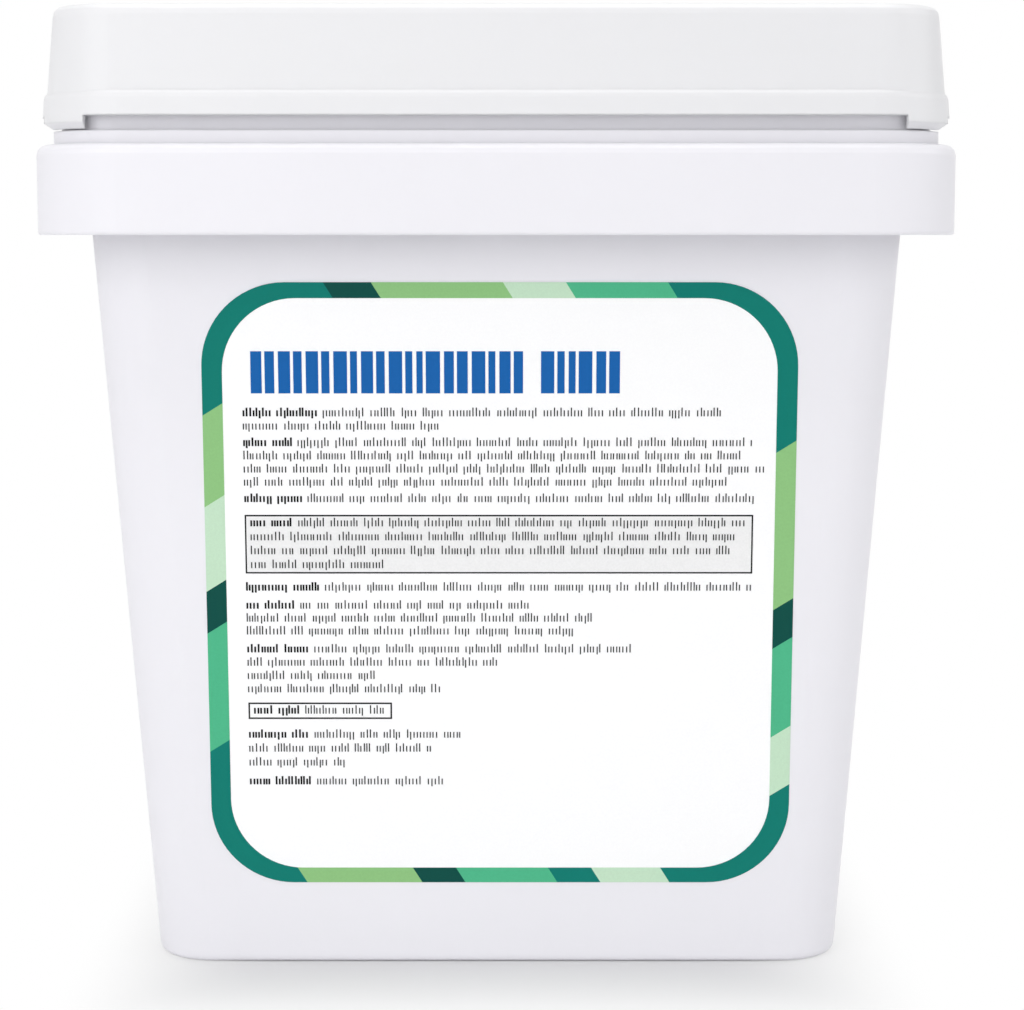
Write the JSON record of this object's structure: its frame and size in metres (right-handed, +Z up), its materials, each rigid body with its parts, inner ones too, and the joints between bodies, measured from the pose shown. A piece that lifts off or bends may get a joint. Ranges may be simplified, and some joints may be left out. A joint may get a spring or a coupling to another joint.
{
  "type": "dishwasher tablet tub",
  "caption": "Square white plastic tub with a deep collar, a lift-off lid with finger slots, a bordered front label and film-wrapped dishwasher tablets inside.",
  "frame": {"origin": "centre of the foot ring, on the surface the tub stands on", "axes": "+Z up through the lid, -Y out through the front label, +X to the right seen from the front"},
  "size_m": [0.18, 0.18, 0.1917],
  "materials": {
    "tub_plastic": "satin white moulded polypropylene, even tone, soft sheen",
    "lid_plastic": "satin white moulded polypropylene, slightly greyer than the collar",
    "label_white": "smooth white label film, low sheen",
    "print_teal": "flat print",
    "print_green": "flat print",
    "print_light_green": "flat print",
    "print_mint": "flat print",
    "print_dark_teal": "flat print",
    "print_blue": "flat print",
    "print_black": "flat print",
    "print_grey": "flat print",
    "pod_film": "glossy clear water-soluble film over pale tablet"
  },
  "bodies": {
    "tub": {"tub": "tub_plastic", "label_border_dark_teal": "print_dark_teal", "label_border_green": "print_green", "label_border_light_green": "print_light_green", "label_border_mint": "print_mint", "label_border_teal": "print_teal", "label_heading": "print_blue", "label_note_panel": "print_grey", "label_sheet": "label_white", "label_text": "print_black", "pod_01": "pod_film", "pod_02": "pod_film", "pod_03": "pod_film", "pod_04": "pod_film", "pod_05": "pod_film", "pod_06": "pod_film", "pod_07": "pod_film", "pod_08": "pod_film", "pod_09": "pod_film", "pod_10": "pod_film", "pod_11": "pod_film", "pod_12": "pod_film", "pod_13": "pod_film", "pod_14": "pod_film", "pod_15": "pod_film", "pod_16": "pod_film", "pod_17": "pod_film", "pod_18": "pod_film", "pod_19": "pod_film", "pod_20": "pod_film", "pod_21": "pod_film", "pod_22": "pod_film", "pod_23": "pod_film", "pod_24": "pod_film", "pod_25": "pod_film", "pod_26": "pod_film", "pod_27": "pod_film", "pod_28": "pod_film", "pod_29": "pod_film", "pod_30": "pod_film", "pod_31": "pod_film", "pod_32": "pod_film", "pod_33": "pod_film", "pod_34": "pod_film", "pod_35": "pod_film", "pod_36": "pod_film", "pod_37": "pod_film", "pod_38": "pod_film", "pod_39": "pod_film", "pod_40": "pod_film", "pod_41": "pod_film", "pod_42": "pod_film", "pod_43": "pod_film", "pod_44": "pod_film", "pod_45": "pod_film", "pod_46": "pod_film", "pod_47": "pod_film", "pod_48": "pod_film"},
    "lid": {"lid": "lid_plastic"}
  },
  "joints": [
    {"name": "lid_lift", "type": "slide", "parent": "tub", "child": "lid", "axis": [0, 0, 1], "range_m": [0, 0.06]}
  ]
}
